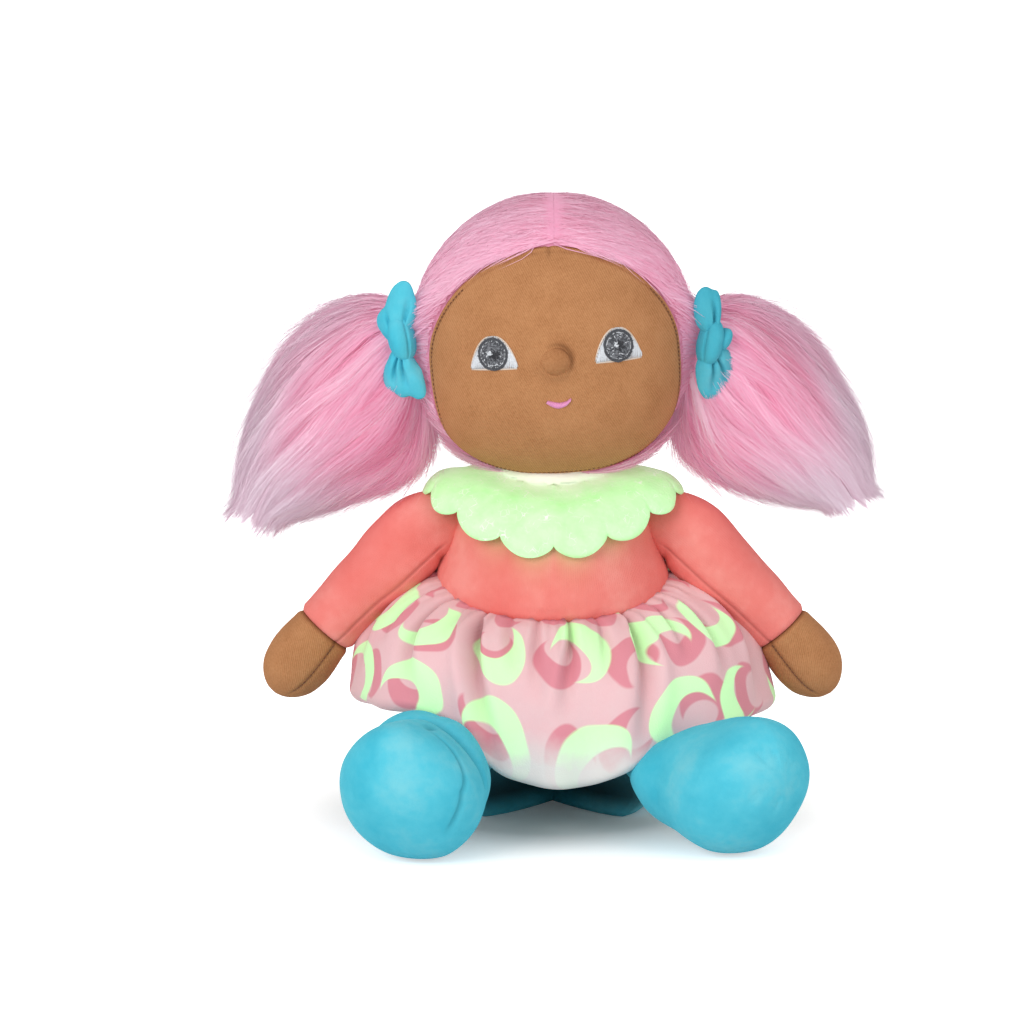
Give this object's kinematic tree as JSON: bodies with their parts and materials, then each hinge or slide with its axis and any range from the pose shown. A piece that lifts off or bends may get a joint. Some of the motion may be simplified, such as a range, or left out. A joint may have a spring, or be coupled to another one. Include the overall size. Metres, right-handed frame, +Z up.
{
  "type": "cloth doll",
  "caption": "Seated stuffed cloth doll with faux-fur pigtails, hair bows, scalloped collar, gathered skirt and limbs sewn on to swing at their seams",
  "frame": {"origin": "middle of the flat underside of the seat", "axes": "+Z up, the doll faces -Y, its own left side is at +X"},
  "size_m": [0.2556, 0.194, 0.2496],
  "materials": {
    "coral_plush": "short-pile coral plush",
    "blue_plush": "short-pile sky blue plush with a soft sheen",
    "brown_twill": "brushed brown twill",
    "pink_fur": "combed pink faux fur, lilac-grey at the tips",
    "pale_green_plush": "bright pale green plush with white glints",
    "printed_plush": "short plush printed in pink, rose, off-white and pale green",
    "white_thread": "white embroidery thread in satin stitch",
    "grey_thread": "grey and black embroidery thread",
    "pink_thread": "pink embroidery thread in satin stitch",
    "fibre_fill": "loose white polyester fibre",
    "pellet_cloth": "plain woven bag filled with pellets"
  },
  "bodies": {
    "torso": {"bodice_cover": "coral_plush", "seat_cover": "blue_plush", "torso_stuffing": "fibre_fill", "pellet_bag": "pellet_cloth", "skirt": "printed_plush", "collar": "pale_green_plush"},
    "head": {"face_panel": "brown_twill", "hair_panel_left": "pink_fur", "hair_panel_right": "pink_fur", "head_stuffing": "fibre_fill", "nose": "brown_twill", "eye_white_left": "white_thread", "eye_iris_left": "grey_thread", "eye_white_right": "white_thread", "eye_iris_right": "grey_thread", "mouth": "pink_thread"},
    "pigtail_l": {"pigtail_left": "pink_fur", "bow_upper_loop_left": "blue_plush", "bow_lower_loop_left": "blue_plush", "bow_knot_left": "blue_plush"},
    "pigtail_r": {"pigtail_right": "pink_fur", "bow_upper_loop_right": "blue_plush", "bow_lower_loop_right": "blue_plush", "bow_knot_right": "blue_plush"},
    "arm_l": {"sleeve_left": "coral_plush", "hand_left": "brown_twill", "arm_stuffing_left": "fibre_fill"},
    "arm_r": {"sleeve_right": "coral_plush", "hand_right": "brown_twill", "arm_stuffing_right": "fibre_fill"},
    "leg_l": {"leg_cover_left": "blue_plush", "leg_stuffing_left": "fibre_fill"},
    "leg_r": {"leg_cover_right": "blue_plush", "leg_stuffing_right": "fibre_fill"}
  },
  "joints": [
    {"name": "head_turn", "type": "hinge", "parent": "torso", "child": "head", "pos_m": [0, 0, 0.147], "axis": [0, 0, 1], "range_deg": [-40, 40], "stiffness_Nm_per_rad": 0.04},
    {"name": "pigtail_left_swing", "type": "hinge", "parent": "head", "child": "pigtail_l", "pos_m": [0.0548, 0.004, 0.188], "axis": [-1, 0, 0], "range_deg": [-45, 45], "stiffness_Nm_per_rad": 0.01},
    {"name": "pigtail_right_swing", "type": "hinge", "parent": "head", "child": "pigtail_r", "pos_m": [-0.0548, 0.004, 0.188], "axis": [-1, 0, 0], "range_deg": [-45, 45], "stiffness_Nm_per_rad": 0.01},
    {"name": "arm_left_swing", "type": "hinge", "parent": "torso", "child": "arm_l", "pos_m": [0.04226, 0, 0.117], "axis": [-1, 0, 0], "range_deg": [-60, 60], "stiffness_Nm_per_rad": 0.01},
    {"name": "arm_right_swing", "type": "hinge", "parent": "torso", "child": "arm_r", "pos_m": [-0.04226, 0, 0.117], "axis": [-1, 0, 0], "range_deg": [-60, 60], "stiffness_Nm_per_rad": 0.01},
    {"name": "leg_left_swing", "type": "hinge", "parent": "torso", "child": "leg_l", "pos_m": [0.032, -0.03181, 0.027], "axis": [-0.829, -0.5592, 0], "range_deg": [-45, 3]},
    {"name": "leg_right_swing", "type": "hinge", "parent": "torso", "child": "leg_r", "pos_m": [-0.032, -0.03181, 0.027], "axis": [-0.9511, 0.309, 0], "range_deg": [-45, 3]}
  ]
}
